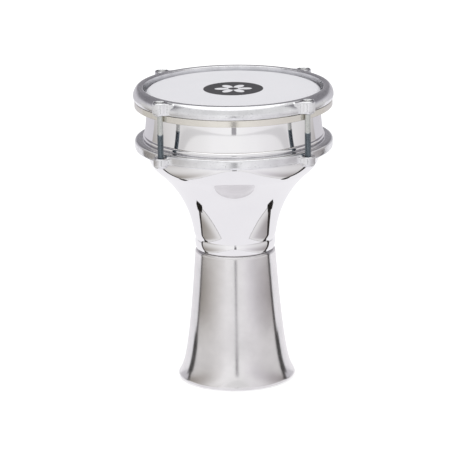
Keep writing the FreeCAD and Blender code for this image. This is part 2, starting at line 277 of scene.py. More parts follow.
class ToolTree:
    """A geometry node tree with named inputs, which shapes an object for good."""

    def __init__(self, name: str, inputs: dict[str, str]) -> None:
        """Make the tree with its inputs and its output.

        Args:
            name: its name.
            inputs: the type of each named input.
        """
        self.tree = bpy.data.node_groups.new(name, "GeometryNodeTree")
        add = self.tree.interface.new_socket
        self.keys = {
            label: add(label, in_out="INPUT", socket_type="NodeSocket" + kind).identifier
            for label, kind in inputs.items()
        }
        add("Geometry", in_out="OUTPUT", socket_type="NodeSocketGeometry")
        self.given = add_node(self.tree, "NodeGroupInput").outputs
        self.calc = Calc(self.tree)

    def end(self, geometry: Socket) -> None:
        """Make the geometry real, give it its material and pass it out of the tree."""
        real = add_node(self.tree, "GeometryNodeRealizeInstances", {0: geometry})
        inputs = {"Geometry": real.outputs[0], "Material": self.given["Material"]}
        coated = add_node(self.tree, "GeometryNodeSetMaterial", inputs)
        add_node(self.tree, "NodeGroupOutput", {0: coated.outputs[0]})

    def run(self, holder: Piece, name: str, values: dict[str, object]) -> Piece:
        """Shape an object with the tree.

        Args:
            holder: the object, which is removed.
            name: name of the result.
            values: a value for each named input but the first, which is the object's mesh.

        Returns:
            The result as a plain mesh object.
        """
        modifier = holder.modifiers.new(self.tree.name, "NODES")
        modifier.node_group = self.tree
        for label, value in values.items():
            modifier[self.keys[label]] = value
        return settled(holder, name)


class TurnedTree(ToolTree):
    """Geometry nodes that turn an outline about Z into a closed, smooth surface.

    A thread can be cut into the stretch between two heights.
    """

    def __init__(self) -> None:
        """Build the tree."""
        inputs = {"Outline": "Geometry", "Segments": "Int"}
        inputs |= {"Thread " + label: "Float" for label in ("Depth", "Pitch", "Start", "End")}
        super().__init__("turned_surface", inputs | {"Material": "Material"})
        tree, given, calc = self.tree, self.given, self.calc
        size = add_node(
            tree, "GeometryNodeAttributeDomainSize", {0: given["Outline"]}, component="MESH"
        )
        rows = size.outputs["Point Count"]
        columns = calc("ADD", given["Segments"], 1)
        grid = add_node(
            tree,
            "GeometryNodeMeshGrid",
            {"Size X": 1.0, "Size Y": 1.0, "Vertices X": columns, "Vertices Y": rows},
        )
        index = add_node(tree, "GeometryNodeInputIndex").outputs[0]
        column = calc("FLOOR", calc("DIVIDE", calc("ADD", index, 0.5), rows))
        row = calc("SUBTRACT", index, calc("MULTIPLY", column, rows))
        position = add_node(tree, "GeometryNodeInputPosition").outputs[0]
        sample = add_node(
            tree,
            "GeometryNodeSampleIndex",
            {"Geometry": given["Outline"], "Value": position, "Index": row},
            data_type="FLOAT_VECTOR",
            domain="POINT",
        )
        place = add_node(tree, "ShaderNodeSeparateXYZ", {0: sample.outputs[0]}).outputs
        turn = calc("MULTIPLY", calc("DIVIDE", column, given["Segments"]), math.tau)
        radius = calc("SUBTRACT", place["X"], self.groove(place["Z"], turn))
        where = add_node(
            tree,
            "ShaderNodeCombineXYZ",
            {
                "X": calc("MULTIPLY", radius, calc("COSINE", turn)),
                "Y": calc("MULTIPLY", radius, calc("SINE", turn)),
                "Z": place["Z"],
            },
        )
        inputs = {"Geometry": grid.outputs["Mesh"], "Position": where.outputs[0]}
        moved = add_node(tree, "GeometryNodeSetPosition", inputs)
        inputs = {"Geometry": moved.outputs[0], "Distance": WELD_DISTANCE}
        welded = add_node(tree, "GeometryNodeMergeByDistance", inputs)
        smooth = add_node(tree, "GeometryNodeSetShadeSmooth", {"Geometry": welded.outputs[0]})
        self.end(smooth.outputs[0])

    def groove(self, height: Socket, turn: Socket) -> Socket:
        """Depth of a right-hand thread at a height and a turn about the axis.

        Args:
            height: the point's height.
            turn: its angle in radians.

        Returns:
            How far the point lies under the thread's crest.
        """
        calc, given = self.calc, self.given
        run_in = calc("SUBTRACT", height, given["Thread Start"])
        turns = calc("DIVIDE", run_in, given["Thread Pitch"])
        phase = calc("FRACT", calc("SUBTRACT", turns, calc("DIVIDE", turn, math.tau)))
        swing = calc("SUBTRACT", calc("MULTIPLY", phase, 2.0), 1.0)
        tooth = calc("SUBTRACT", 1.0, calc("ABSOLUTE", swing))
        flank = calc("MINIMUM", 1.0, calc("MULTIPLY", tooth, 1.15))
        run_out = calc("SUBTRACT", given["Thread End"], height)
        fade = calc("DIVIDE", calc("MINIMUM", run_in, run_out), given["Thread Pitch"])
        inside = calc("MAXIMUM", 0.0, calc("MINIMUM", 1.0, fade))
        return calc("MULTIPLY", calc("MULTIPLY", flank, inside), given["Thread Depth"])


@dataclass
class Thread:
    """An outside thread, in millimetres."""

    depth: float
    pitch: float
    start: float
    end: float


def mesh_object(name: str, mesh: bpy.types.Mesh) -> Piece:
    """Link a new object that holds the mesh."""
    made = bpy.data.objects.new(name, mesh)
    bpy.context.scene.collection.objects.link(made)
    return made


def settled(holder: Piece, name: str) -> Piece:
    """Turn an object with modifiers into a plain mesh object.

    Args:
        holder: the object, which is removed.
        name: name of the new object.

    Returns:
        The plain object.
    """
    bpy.context.view_layer.update()
    graph = bpy.context.evaluated_depsgraph_get()
    mesh = bpy.data.meshes.new_from_object(holder.evaluated_get(graph))
    bpy.data.objects.remove(holder)
    mesh.name = name
    return mesh_object(name, mesh)


class Lathe:
    """Turns outlines into objects with one shared tree."""

    def __init__(self) -> None:
        """Build the shared tree."""
        self.nodes = TurnedTree()

    def turn(
        self,
        name: str,
        outline: Outline,
        material: Material,
        segments: int = 256,
        thread: Thread | None = None,
    ) -> Piece:
        """Turn one outline.

        Args:
            name: name of the piece.
            outline: its half section.
            material: its finish.
            segments: faces around the axis.
            thread: a thread to cut, if it has one.

        Returns:
            The piece as a plain mesh object.
        """
        points = [(radius * MM, 0.0, height * MM) for radius, height in outline.points]
        edges = [(i, i + 1) for i in range(len(points) - 1)]
        mesh = bpy.data.meshes.new(name)
        mesh.from_pydata(points, edges, [])
        holder = mesh_object(name + "_outline", mesh)
        cut = thread or Thread(depth=0.0, pitch=1.0, start=0.0, end=1.0)
        values = {"Thread " + key.title(): size * MM for key, size in vars(cut).items()}
        values |= {"Segments": segments, "Material": material}
        return self.nodes.run(holder, name, values)


# ---------------------------------------------------------------- mesh helpers
def circle_through(first: Point, middle: Point, last: Point) -> tuple[Point, float]:
    """Find the circle through three points.

    Args:
        first: the first point.
        middle: the second point.
        last: the third point.

    Returns:
        The circle's centre and its radius.
    """
    (ax, ay), (bx, by), (cx, cy) = first, middle, last
    scale = 2 * (ax * (by - cy) + bx * (cy - ay) + cx * (ay - by))
    squares = [x * x + y * y for x, y in (first, middle, last)]
    x = (squares[0] * (by - cy) + squares[1] * (cy - ay) + squares[2] * (ay - by)) / scale
    y = (squares[0] * (cx - bx) + squares[1] * (ax - cx) + squares[2] * (bx - ax)) / scale
    return (x, y), math.dist((x, y), first)


def direction(centre: Point, point: Point) -> float:
    """Angle in degrees from a centre to a point, counted from outwards towards up."""
    return math.degrees(math.atan2(point[1] - centre[1], point[0] - centre[0]))


def on_circle(centre: Point, radius: float, degrees: float) -> Point:
    """Point of a circle at an angle in degrees."""
    angle = math.radians(degrees)
    return centre[0] + radius * math.cos(angle), centre[1] + radius * math.sin(angle)


def with_bmesh(piece: Piece, change: Draw) -> None:
    """Change a piece's mesh with bmesh.

    Args:
        piece: the piece.
        change: does the change.
    """
    work = bmesh.new()
    work.from_mesh(piece.data)
    change(work)
    work.to_mesh(piece.data)
    work.free()


def drawn(name: str, draw: Draw) -> bpy.types.Mesh:
    """Make a mesh with bmesh.

    Args:
        name: its name.
        draw: puts its faces in.

    Returns:
        The mesh.
    """
    work = bmesh.new()
    draw(work)
    mesh = bpy.data.meshes.new(name)
    work.to_mesh(mesh)
    work.free()
    return mesh


def outward(piece: Piece) -> None:
    """Turn the faces of a closed piece outwards."""
    with_bmesh(piece, lambda work: bmesh.ops.recalc_face_normals(work, faces=work.faces))


def crisp(piece: Piece, degrees: float) -> None:
    """Shade a piece smooth and keep the edges that bend more than an angle sharp."""
    piece.data.shade_smooth()
    piece.data.set_sharp_from_angle(angle=math.radians(degrees))


def prism(name: str, corners: list[Point], bottom: float, top: float) -> Piece:
    """Upright prism.

    Args:
        name: its name.
        corners: its plan in millimetres, anticlockwise.
        bottom: lower height.
        top: upper height.

    Returns:
        The prism.
    """
    mesh = bpy.data.meshes.new(name)
    count = len(corners)
    points = [(x * MM, y * MM, z * MM) for z in (bottom, top) for x, y in corners]
    faces = [tuple(reversed(range(count))), tuple(range(count, 2 * count))]
    faces += [(i, (i + 1) % count, count + (i + 1) % count, count + i) for i in range(count)]
    mesh.from_pydata(points, [], faces)
    return mesh_object(name, mesh)


def merged(name: str, pieces: list[Piece]) -> Piece:
    """Put the meshes of several objects into one object.

    Args:
        name: name of the new object.
        pieces: the objects, which are removed.

    Returns:
        The new object.
    """
    mesh = drawn(name, lambda work: [work.from_mesh(piece.data) for piece in pieces])
    for piece in pieces:
        bpy.data.objects.remove(piece)
    return mesh_object(name, mesh)


def cut(piece: Piece, cutter: Piece, name: str) -> Piece:
    """Cut a closed shape out of a piece.

    Args:
        piece: the piece, which is removed.
        cutter: the shape, which is removed.
        name: name of the result.

    Returns:
        The piece that is left.
    """
    modifier = piece.modifiers.new("cut", "BOOLEAN")
    modifier.operation = "DIFFERENCE"
    modifier.solver = "EXACT"
    modifier.object = cutter
    result = settled(piece, name)
    bpy.data.objects.remove(cutter)
    return result


# ---------------------------------------------------------------- finishes
class Surface:
    """A material under construction: its tree, its arithmetic and its principled shader."""

    def __init__(self, name: str) -> None:
        """Make an empty material with a principled shader."""
        self.material = blank_material(name)
        self.tree = self.material.node_tree
        self.calc = Calc(self.tree)
        self.shader = add_node(self.tree, "ShaderNodeBsdfPrincipled")
        add_node(self.tree, "ShaderNodeOutputMaterial", {"Surface": self.shader.outputs[0]})
        self.place, self.axes = own_place(self.tree)

    def set(self, **values: object) -> None:
        """Set or link inputs of the shader, named with underscores for spaces."""
        for name, value in values.items():
            feed(self.tree, self.shader.inputs[name.replace("_", " ")], value)

    def radius(self) -> Socket:
        """Distance from the drum's axis in metres."""
        return axis_distance(self.calc, self.axes)

    def noise(self, size_mm: float, detail: float = 2.0, place: Socket | None = None) -> Socket:
        """Noise between 0 and 1 with features of about one size.

        Args:
            size_mm: size of its features.
            detail: octaves of finer noise.
            place: coordinates in metres, the object's own if left out.

        Returns:
            The noise.
        """
        return add_node(
            self.tree,
            "ShaderNodeTexNoise",
            {"Vector": place or self.place, "Scale": 1.0 / (size_mm * MM), "Detail": detail},
        ).outputs[0]

    def spin_place(self) -> Socket:
        """Coordinates that hold only the radius and the height, for marks that run around."""
        return add_node(
            self.tree, "ShaderNodeCombineXYZ", {"X": self.radius(), "Y": self.axes["Z"]}
        ).outputs[0]

    def between(self, factor: Socket, low: float, high: float) -> Socket:
        """Turn 0 to 1 into a range."""
        return add_node(
            self.tree, "ShaderNodeMapRange", {"Value": factor, "To Min": low, "To Max": high}
        ).outputs[0]

    def step(self, value: Socket, low: float, high: float) -> Socket:
        """Smooth step from 0 at the low value to 1 at the high one."""
        return smooth_step(self.tree, value, low, high)

    def mix(self, factor: Socket, first: object, second: object) -> Socket:
        """Mix two colours, given as hex or as sockets."""
        return mixed(self.tree, factor, first, second)

    def bump(self, height: Socket, depth_mm: float, base: Socket | None = None) -> Socket:
        """Bend the normal by a height field.

        Args:
            height: the field, 0 to 1.
            depth_mm: real depth of the field.
            base: a normal to start from.

        Returns:
            The bent normal.
        """
        inputs: dict = {"Strength": 1.0, "Distance": depth_mm * MM, "Height": height}
        if base:
            inputs["Normal"] = base
        return add_node(self.tree, "ShaderNodeBump", inputs).outputs[0]


class Coat:
    """A finish that can dress a surface."""

    name: str

    def dress(self, surface: Surface) -> None:
        """Set the surface's shader."""
        raise NotImplementedError

    def material(self) -> Material:
        """Build the material."""
        surface = Surface(self.name)
        self.dress(surface)
        return surface.material


@dataclass(frozen=True)
class SpunMetal(Coat):
    """Sheet metal spun on a lathe: fine rings that run around the axis, and a soft haze."""

    name: str
    colour: str
    shade: str
    roughness: float
    haze: float
    ring_depth: float
    sheet_depth: float

    def dress(self, surface: Surface) -> None:
        """Set the surface's shader."""
        around = surface.spin_place()
        fine = surface.noise(0.35, 1.0, around)
        broad = surface.noise(2.4, 3.0, around)
        cloud = surface.noise(26.0, 4.0)
        haze = surface.calc("MULTIPLY_ADD", fine, 0.35, surface.calc("MULTIPLY", cloud, 0.65))
        normal = surface.bump(fine, self.ring_depth)
        normal = surface.bump(broad, self.ring_depth * 2.2, normal)
        normal = surface.bump(surface.noise(38.0, 1.0), self.sheet_depth, normal)
        surface.set(
            Base_Color=surface.mix(surface.between(cloud, 0.0, 1.0), self.colour, self.shade),
            Metallic=1.0,
            Roughness=surface.between(haze, self.roughness, self.roughness + self.haze),
            Normal=normal,
        )


@dataclass(frozen=True)
class CastMetal(Coat):
    """Sand-cast aluminium, tumbled bright: fine grain, soft lumps and small dark pits."""

    name: str
    colour: str
    shade: str
    roughness: float
    grain_depth: float

    def dress(self, surface: Surface) -> None:
        """Set the surface's shader."""
        grain = surface.noise(0.55, 3.0)
        lumps = surface.noise(4.0, 2.0)
        patches = surface.noise(14.0, 3.0)
        pits = surface.step(surface.noise(1.3, 1.0), 0.66, 0.74)
        normal = surface.bump(grain, self.grain_depth)
        normal = surface.bump(lumps, self.grain_depth * 2.5, normal)
        tone = surface.calc("MULTIPLY_ADD", pits, 0.5, surface.calc("MULTIPLY", patches, 0.7))
        surface.set(
            Base_Color=surface.mix(tone, self.colour, self.shade),
            Metallic=1.0,
            Roughness=surface.between(patches, self.roughness - 0.05, self.roughness + 0.08),
            Normal=normal,
        )


@dataclass(frozen=True)
class PlatedSteel(Coat):
    """Zinc-plated steel: bright, with faint clouds from the bath and a darker thread."""

    name: str
    colour: str
    shade: str
    thread_shade: str
    roughness: float

    def dress(self, surface: Surface) -> None:
        """Set the surface's shader."""
        clouds = surface.noise(3.0, 3.0)
        grain = surface.noise(0.25, 1.0)
        threaded = surface.step(surface.axes["Z"], 0.2505, 0.2495)
        plain = surface.mix(clouds, self.colour, self.shade)
        surface.set(
            Base_Color=surface.mix(threaded, plain, self.thread_shade),
            Metallic=1.0,
            Roughness=surface.between(clouds, self.roughness, self.roughness + 0.14),
            Normal=surface.bump(grain, 0.006),
        )


@dataclass(frozen=True)
class Resin(Coat):
    """Cast epoxy: amber-grey, a little cloudy, with a soft meniscus sheen."""

    name: str
    colour: str
    shade: str

    def dress(self, surface: Surface) -> None:
        """Set the surface's shader."""
        clouds = surface.noise(2.5, 3.0)
        surface.set(
            Base_Color=surface.mix(clouds, self.colour, self.shade),
            Roughness=surface.between(clouds, 0.3, 0.5),
            Subsurface_Weight=0.15,
            Subsurface_Radius=(0.002, 0.0016, 0.001),
            Subsurface_Scale=0.4,
            Normal=surface.bump(surface.noise(1.2, 2.0), 0.03),
        )


@dataclass(frozen=True)
class PrintedFilm(Coat):
    """White coated polyester with a dark printed roundel and a pale rosette in it."""

    name: str
    colour: str
    shade: str
    ink: str
    print_radius: float
    petals: int

    def ink_mask(self, surface: Surface) -> Socket:
        """Where the ink lies, 0 to 1.

        Args:
            surface: the material under construction.

        Returns:
            The mask.
        """
        calc = surface.calc
        edge = self.print_radius * MM
        radius = surface.radius()
        patch = surface.step(radius, edge, edge - 0.0003)
        turn = calc("ARCTAN2", surface.axes["Y"], surface.axes["X"])
        wave = calc("ABSOLUTE", calc("COSINE", calc("MULTIPLY", turn, self.petals / 2)))
        reach = calc("MULTIPLY", calc("POWER", wave, 0.6), 0.62 * edge)
        petal = surface.step(calc("SUBTRACT", radius, reach), 0.0002, -0.0002)
        eye = surface.step(radius, 0.17 * edge, 0.17 * edge - 0.0003)
        pale = calc("MULTIPLY", petal, calc("SUBTRACT", 1.0, eye))
        return calc("MULTIPLY", patch, calc("SUBTRACT", 1.0, pale))

    def dress(self, surface: Surface) -> None:
        """Set the surface's shader."""
        clouds = surface.noise(30.0, 3.0)
        coating = surface.mix(clouds, self.colour, self.shade)
        ink = self.ink_mask(surface)
        normal = surface.bump(surface.noise(0.4, 2.0), 0.004)
        normal = surface.bump(ink, 0.01, normal)
        surface.set(
            Base_Color=surface.mix(ink, coating, self.ink),
            Roughness=surface.between(ink, 0.42, 0.5),
            Normal=normal,
        )


class Finish(Enum):
    """The drum's finishes."""

    # Spun sheet, buffed with rouge: close to a mirror, with hair-fine rings in it
    BOWL = SpunMetal("aluminium_spun_buffed", "F2F1F2", "ECEBED", 0.035, 0.03, 0.0003, 0.008)
    # The same sheet, buffed less: rings and cloudy patches show, and highlights spread
    STEM = SpunMetal("aluminium_spun_satin", "F3F1F2", "D2D0D1", 0.12, 0.1, 0.0018, 0.014)
    # Raw side of the spun sheet: dull, with the roller's track
    INSIDE = SpunMetal("aluminium_spun_raw", "C4C3C3", "A9A8A8", 0.32, 0.16, 0.012, 0.02)
    # Tumbled sand casting: bright, with lumps that break its highlights up
    CASTING = CastMetal("aluminium_sand_cast", "F4F4F6", "B4B4B7", 0.18, 0.014)
    # Drawn channel: bright with a warm haze
    CHANNEL = SpunMetal("aluminium_drawn_channel", "EAE7E1", "DAD5CC", 0.12, 0.08, 0.001, 0.0)
    # Zinc plate: a bright pale shank and a darker, bluish thread
    BOLT = PlatedSteel("steel_zinc_plated", "D2D3CF", "B4B7B6", "868E94", 0.16)
    # Coated film: white, soft sheen
    FILM = PrintedFilm("polyester_film_coated", "E6E5E9", "E1E1E5", "39383B", 28.0, 6)
    # Bonding: amber-grey
    RESIN = Resin("epoxy_cast", "BDB49C", "A39A82")


class Finishes:
    """Builds each finish once."""

    def __init__(self) -> None:
        """Start with none built."""
        self.built: dict[Finish, Material] = {}

    def get(self, finish: Finish) -> Material:
        """Material of a finish."""
        if finish not in self.built:
            self.built[finish] = finish.value.material()
        return self.built[finish]


# ---------------------------------------------------------------- shell
@dataclass(frozen=True)
class ShellSizes:
    """Sizes of the spun shell in millimetres."""

    wall: float = 2.2
    stem_top: float = 37.8
    taper: float = 0.0553
    flare: float = 7.97
    flare_length: float = 52.7
    lip: float = 5.55
    lip_length: float = 8.0
    roll: float = 2.4
    flat: float = 0.15
    shoulder: float = 3.6
    groove: float = 36.3
    groove_z: float = 125.0
    band_middle: float = 37.65
    band_top: float = 37.1
    band_z: float = 136.0
    neck: float = 37.3
    neck_z: float = 136.6
    neck_round: float = 6.0
    notch_slope: float = 22.0
    neck_slope: float = 8.5
    straight: float = 3.5
    belly: float = 24.8
    bowl: float = 80.7
    belly_z: float = 219.9
    bead_crease: float = 60.0
    collar: float = 81.0
    flare_top: float = 264.0
    edge: float = 4.0
    edge_z: float = 272.4
    lip_end: float = 75.4
    spigot_top: float = 134.0


class Maker:
    """Makes pieces with a lathe and finishes."""

    def __init__(self, lathe: Lathe, finishes: Finishes) -> None:
        """Keep the tools.

        Args:
            lathe: turns outlines.
            finishes: gives materials.
        """
        self.lathe = lathe
        self.finishes = finishes


class Shell(Maker):
    """The bowl and the stem, both spun from sheet."""

    sizes = ShellSizes()

    def band(self) -> tuple[Point, float]:
        """Circle of the band's outside."""
        s = self.sizes
        half_z = (s.groove_z + s.band_z) / 2
        return circle_through(
            (s.groove, s.groove_z), (s.band_middle, half_z), (s.band_top, s.band_z)
        )

    def bowl_side(self, inset: float) -> Outline:
        """Bowl's outline from the groove to the bearing edge, at a depth in the sheet.

        Args:
            inset: depth under the outer face.

        Returns:
            The outline, upwards.
        """
        s = self.sizes
        side = Outline()
        centre, band = self.band()
        side.arc(
            centre,
            band - inset,
            direction(centre, (s.groove, s.groove_z)),
            direction(centre, (s.band_top, s.band_z)),
        )
        sines = math.sin(math.radians(s.notch_slope)) - math.sin(math.radians(s.neck_slope))
        swell = s.neck_round / sines
        centre = on_circle((s.neck, s.neck_z), -swell, -s.notch_slope)
        start = on_circle(centre, swell, -s.neck_slope)
        side.line(*on_circle(centre, swell - inset, -s.notch_slope))
        side.arc(centre, swell - inset, -s.notch_slope, -s.neck_slope, spacing=0.5)
        belly = (s.bowl - s.belly, s.belly_z)
        outwards = on_circle((0.0, 0.0), 1.0, -s.neck_slope)
        apart = (start[0] - belly[0], start[1] - belly[1])
        along = apart[0] * outwards[0] + apart[1] * outwards[1]
        reach = apart[0] ** 2 + apart[1] ** 2 - s.belly**2 - s.straight**2
        flare = reach / (2 * (s.belly - along))
        centre = (start[0] + outwards[0] * flare, start[1] + outwards[1] * flare)
        lean = math.degrees(math.atan2(s.straight, s.belly + flare))
        slope = direction(belly, centre) + lean
        side.line(*on_circle(centre, flare + inset, 180 - s.neck_slope))
        side.arc(centre, flare + inset, 180 - s.neck_slope, 180 + slope)
        side.line(*on_circle(belly, s.belly - inset, slope))
        side.arc(belly, s.belly - inset, slope, 0)
        bead, bulge = BEAD_CENTRE, BEAD_RADIUS
        bead_start = -180 + math.degrees(math.acos((bead[0] - s.bowl) / bulge))
        side.line(*on_circle(bead, bulge - inset, bead_start))
        side.arc(bead, bulge - inset, bead_start, s.bead_crease, spacing=0.3)
        crease = on_circle(bead, bulge, s.bead_crease)
        turn = 2 * math.atan((crease[0] - s.collar) / (s.flare_top - crease[1]))
        hollow = (s.flare_top - crease[1]) / math.sin(turn)
        centre = (s.collar + hollow, s.flare_top)
        side.arc(centre, hollow + inset, 180 + math.degrees(turn), 180, spacing=0.6)
        side.line(s.collar - inset, s.edge_z)
        edge = (s.collar - s.edge, s.edge_z)
        side.arc(edge, s.edge - inset, 0, 90, spacing=0.3)
        return side.line(s.lip_end, s.edge_z + s.edge - inset)

    def bowl(self) -> Piece:
        """Make the bowl."""
        outline = self.bowl_side(0.0)
        outline.joined(self.bowl_side(self.sizes.wall), backwards=True).closed()
        piece = self.lathe.turn("spun_bowl", outline, self.finishes.get(Finish.BOWL))
        self.line_inside(piece)
        return piece

    def stem_radius(self, height: float) -> float:
        """Outer radius of the stem at a height."""
        s = self.sizes
        top = s.groove_z - s.shoulder
        flare = s.flare * (math.exp(-height / s.flare_length) - math.exp(-top / s.flare_length))
        lip = s.lip * math.exp(-height / s.lip_length)
        return s.stem_top + s.taper * (top - height) + flare + lip

    def stem_tilt(self, height: float) -> float:
        """Angle in degrees of the stem's outward normal over the level."""
        fall = (self.stem_radius(height - 0.05) - self.stem_radius(height + 0.05)) / 0.1
        return math.degrees(math.atan(fall))

    def stem_side(self, bottom: float, inset: float) -> Outline:
        """Side of the stem from a height to the shoulder, at a depth in the sheet."""
        s = self.sizes
        side = Outline()
        count = 70
        for i in range(count + 1):
            height = bottom + (s.groove_z - s.shoulder - bottom) * (i / count) ** 1.5
            place = (self.stem_radius(height), height)
            side.point(*on_circle(place, -inset, self.stem_tilt(height)))
        return side

    def neck(self, inset: float) -> Outline:
        """Round shoulder and spigot of the stem, at a depth in the sheet."""
        s = self.sizes
        shoulder = (s.stem_top - s.shoulder, s.groove_z - s.shoulder)
        centre, band = self.band()
        spigot = band - s.wall - PLAY
        low = direction(centre, (s.groove, s.groove_z))
        high = math.degrees(math.asin((s.spigot_top - centre[1]) / band))
        foot = on_circle(centre, spigot, low)
        turn = math.degrees(math.acos((foot[0] - shoulder[0]) / s.shoulder))
        part = Outline()
        part.arc(shoulder, s.shoulder - inset, 0, turn, spacing=0.3)
        part.line(*on_circle(centre, spigot - inset, low))
        return part.arc(centre, spigot - inset, low, high)

    def stem(self) -> Piece:
        """Make the stem with its rolled foot."""
        s = self.sizes
        roll_z = s.roll - s.flat
        touch = roll_z
        for _ in range(20):
            touch = roll_z + s.roll * math.sin(math.radians(self.stem_tilt(touch)))
        tilt = self.stem_tilt(touch)
        roll = on_circle((self.stem_radius(touch), touch), -s.roll, tilt)
        flat = math.degrees(math.asin(roll_z / s.roll))
        outline = Outline()
        outline.arc(roll, s.roll, -flat, tilt, spacing=0.25)
        outline.joined(self.stem_side(touch, 0.0)).joined(self.neck(0.0))
        outline.joined(self.neck(s.wall), backwards=True)
        outline.joined(self.stem_side(touch, s.wall), backwards=True)
        opens = tilt + math.degrees(math.acos((s.roll - s.wall) / s.roll))
        outline.arc(roll, s.roll, opens, 180 + flat, spacing=0.25).closed()
        piece = self.lathe.turn("spun_stem", outline, self.finishes.get(Finish.STEM))
        self.line_inside(piece)
        return piece

    def line_inside(self, piece: Piece) -> None:
        """Give the faces that look at the axis the raw finish."""
        piece.data.materials.append(self.finishes.get(Finish.INSIDE))
        for face in piece.data.polygons:
            towards = face.normal.xy.dot(face.center.xy) < -0.05 * face.center.xy.length
            if towards and face.center.z > 3 * MM:
                face.material_index = 1

    def build(self) -> None:
        """Make both pieces and hand them over."""
        hand_over(self.bowl(), "bowl", "shell")
        hand_over(self.stem(), "stem", "shell")


def hand_over(piece: Piece, node: str, body: str) -> None:
    """Tie a rigid piece to the frame.

    Args:
        piece: the piece, in place.
        node: the CAD node it stands for.
        body: the body it moves with.
    """
    outward(piece)
    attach(piece, body)
    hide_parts(node)
    log.info("%s: %d faces", piece.name, len(piece.data.polygons))


# ---------------------------------------------------------------- head
@dataclass(frozen=True)
class HeadSizes:
    """Sizes of the drumhead in millimetres."""

    thickness: float = 0.25
    underside: float = 276.42
    edge_radius: float = 77.0
    edge_z: float = 272.4
    edge_bend: float = 4.02
    spread_z: float = 270.8
    bend: float = 4.0
    turn: float = 60.0
    bite: float = 0.3
    channel_inner: float = 83.1
    channel_outer: float = 92.0
    channel_bottom: float = 261.47
    channel_top: float = 267.47
    channel_wall: float = 1.0
    channel_lip: float = 3.4
    recess: float = 0.6


class Head(Maker):
    """The film, the channel that holds its rim and the bonding between them."""

    sizes = HeadSizes()

    def film_side(self, out: float) -> Outline:
        """Film's outline from the middle to its rim, moved out of its underside.

        Args:
            out: distance from the underside.

        Returns:
            The outline.
        """
        s = self.sizes
        side = Outline().point(0.0, s.underside + out)
        for radius in (0.2, 10.0, 20.0, 30.0, 40.0, 50.0, 60.0, 70.0, 75.0):
            side.point(radius, s.underside + out)
        side.arc((s.edge_radius, s.edge_z), s.edge_bend + out, 90, 0, spacing=0.25)
        skirt = s.edge_radius + s.edge_bend
        side.line(skirt + out, s.spread_z, spacing=0.3)
        outer = (skirt + s.bend, s.spread_z)
        side.arc(outer, s.bend - out, 180, 180 + s.turn, spacing=0.25)
        spread = on_circle(outer, s.bend, 180 + s.turn)
        inner = on_circle(spread, s.bend, 180 + s.turn)
        side.arc(inner, s.bend + out, s.turn, 0, spacing=0.25)
        return side.point(inner[0] + s.bend + out, inner[1] - s.bite)

    def film(self) -> Piece:
        """Make the film."""
        outline = self.film_side(0.0)
        outline.joined(self.film_side(self.sizes.thickness), backwards=True)
        return self.lathe.turn("coated_film", outline, self.finishes.get(Finish.FILM))

    def channel(self) -> Piece:
        """Make the channel of the flesh hoop."""
        s = self.sizes
        wall, edge = s.channel_wall, 0.25
        lip_z = s.channel_bottom + s.channel_lip
        outline = Outline()
        outline.corner(s.channel_outer, s.channel_bottom, 0.5, -90)
        outline.corner(s.channel_outer, s.channel_top, 0.5, 0)
        outline.corner(s.channel_outer - wall, s.channel_top, edge, 90)
        outline.line(s.channel_outer - wall, s.channel_bottom + wall)
        outline.line(s.channel_inner + wall, s.channel_bottom + wall)
        outline.line(s.channel_inner + wall, lip_z - edge)
        outline.corner(s.channel_inner + wall, lip_z, edge, 0)
        outline.corner(s.channel_inner, lip_z, edge, 90)
        outline.corner(s.channel_inner, s.channel_bottom, 0.5, 180).closed()
        return self.lathe.turn("drawn_channel", outline, self.finishes.get(Finish.CHANNEL))

    def bonding(self) -> Piece:
        """Make the bonding, with a meniscus that climbs the channel and the film."""
        s = self.sizes
        inner = s.channel_inner + s.channel_wall + PLAY
        outer = s.channel_outer - s.channel_wall - PLAY
        bottom = s.channel_bottom + s.channel_wall + PLAY
        top = s.channel_top - s.recess
        lip_z = s.channel_bottom + s.channel_lip
        outline = Outline().point(inner, bottom)
        outline.line(outer, bottom).line(outer, top)
        outline.line(outer - 0.4, top - 0.25).line(87.0, top - 0.6).line(86.0, top - 0.8)
        outline.line(inner + 0.3, lip_z + 0.2).line(inner, lip_z).closed()
        return self.lathe.turn("rim_bonding", outline, self.finishes.get(Finish.RESIN))

    def build(self) -> None:
        """Make the pieces and hand them over."""
        film = self.film()
        outward(film)
        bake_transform(film)
        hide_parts("drumhead_film")
        log.info("%s: %d faces", film.name, len(film.data.polygons))
        hand_over(self.channel(), "flesh_hoop", "tension_hoop")
        hand_over(self.bonding(), "film_bonding", "tension_hoop")


# ---------------------------------------------------------------- castings
@dataclass(frozen=True)
class LugSizes:
    """Sizes of a ring's lugs in millimetres."""

    bottom: float
    top: float
    web_bottom: float
    web_top: float
    web_root: float
    radius: float = 7.0
    fillet: float = 6.5
    edge: float = 1.2
    bottom_edge: float = 3.5
    count: int = 4


class AroundTree(ToolTree):
    """Geometry nodes that set copies of a piece around Z at even steps."""

    def __init__(self) -> None:
        """Build the tree."""
        inputs = {"Piece": "Geometry", "Count": "Int", "First Angle": "Float"}
        super().__init__("set_around", inputs | {"Material": "Material"})
        tree, given, calc = self.tree, self.given, self.calc
        points = add_node(tree, "GeometryNodePoints", {"Count": given["Count"]})
        index = add_node(tree, "GeometryNodeInputIndex").outputs[0]
        share = calc("DIVIDE", index, given["Count"])
        turn = calc("ADD", calc("MULTIPLY", share, math.tau), given["First Angle"])
        rotation = add_node(tree, "ShaderNodeCombineXYZ", {"Z": turn})
        inputs = {"Points": points.outputs[0], "Instance": given["Piece"]}
        inputs["Rotation"] = rotation.outputs[0]
        copies = add_node(tree, "GeometryNodeInstanceOnPoints", inputs)
        self.end(copies.outputs[0])


